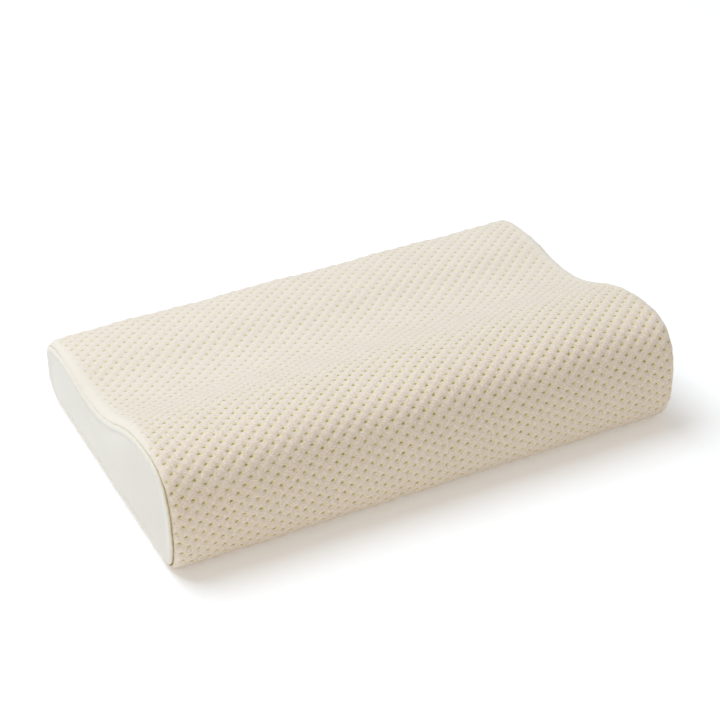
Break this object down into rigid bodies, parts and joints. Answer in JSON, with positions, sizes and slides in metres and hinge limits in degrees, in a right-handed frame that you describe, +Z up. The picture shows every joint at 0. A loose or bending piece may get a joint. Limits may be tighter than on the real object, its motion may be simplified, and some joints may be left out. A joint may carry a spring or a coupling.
{
  "type": "contour bed pillow",
  "caption": "Wave-shaped foam bed pillow with a tall front lobe, a low back lobe, a dotted knit cover, plain end panels and a zip along the back",
  "frame": {"origin": "centre of the underside of the whole object's box", "axes": "+X along the pillow, to the right seen from the tall front lobe; -Y to the tall front lobe, +Y to the low back lobe with the zip; +Z up"},
  "size_m": [0.5, 0.3148, 0.104],
  "materials": {
    "foam": "open-cell slow-recovery polyurethane foam with a moulded skin",
    "liner_tricot": "thin white polyester tricot",
    "dotted_knit": "soft double-faced jacquard knit, beige with small olive-gold pin tucks",
    "plain_knit": "smooth off-white knit",
    "gold_thread": "spun polyester seam thread, olive gold",
    "cream_thread": "spun polyester sewing thread, cream",
    "zip_tape": "woven polyester tape",
    "zip_nylon": "satin nylon monofilament",
    "slider_enamel": "baked enamel on die-cast zinc",
    "label_satin": "blank white satin ribbon"
  },
  "bodies": {
    "pillow": {"foam_core": "foam", "liner_wrap": "liner_tricot", "liner_end_left": "liner_tricot", "liner_end_right": "liner_tricot", "cover_wrap": "dotted_knit", "cover_end_left": "plain_knit", "cover_end_right": "plain_knit", "seam_thread_left": "gold_thread", "seam_thread_right": "gold_thread", "zip_tape_upper": "zip_tape", "zip_tape_lower": "zip_tape", "zip_coil_upper": "zip_nylon", "zip_coil_lower": "zip_nylon", "zip_top_stop_upper": "zip_nylon", "zip_top_stop_lower": "zip_nylon", "zip_bottom_stop": "zip_nylon", "zip_stitch_upper": "cream_thread", "zip_stitch_lower": "cream_thread", "care_label": "label_satin"},
    "slider": {"zip_slider": "slider_enamel"},
    "pull": {"zip_pull": "slider_enamel"}
  },
  "joints": [
    {"name": "zip_slide", "type": "slide", "parent": "pillow", "child": "slider", "axis": [1, 0, 0], "range_m": [0, 0.4269]},
    {"name": "pull_hinge", "type": "hinge", "parent": "slider", "child": "pull", "pos_m": [-0.21345, 0.15525, 0.035], "axis": [0, 0, 1], "range_deg": [0, 180]}
  ]
}
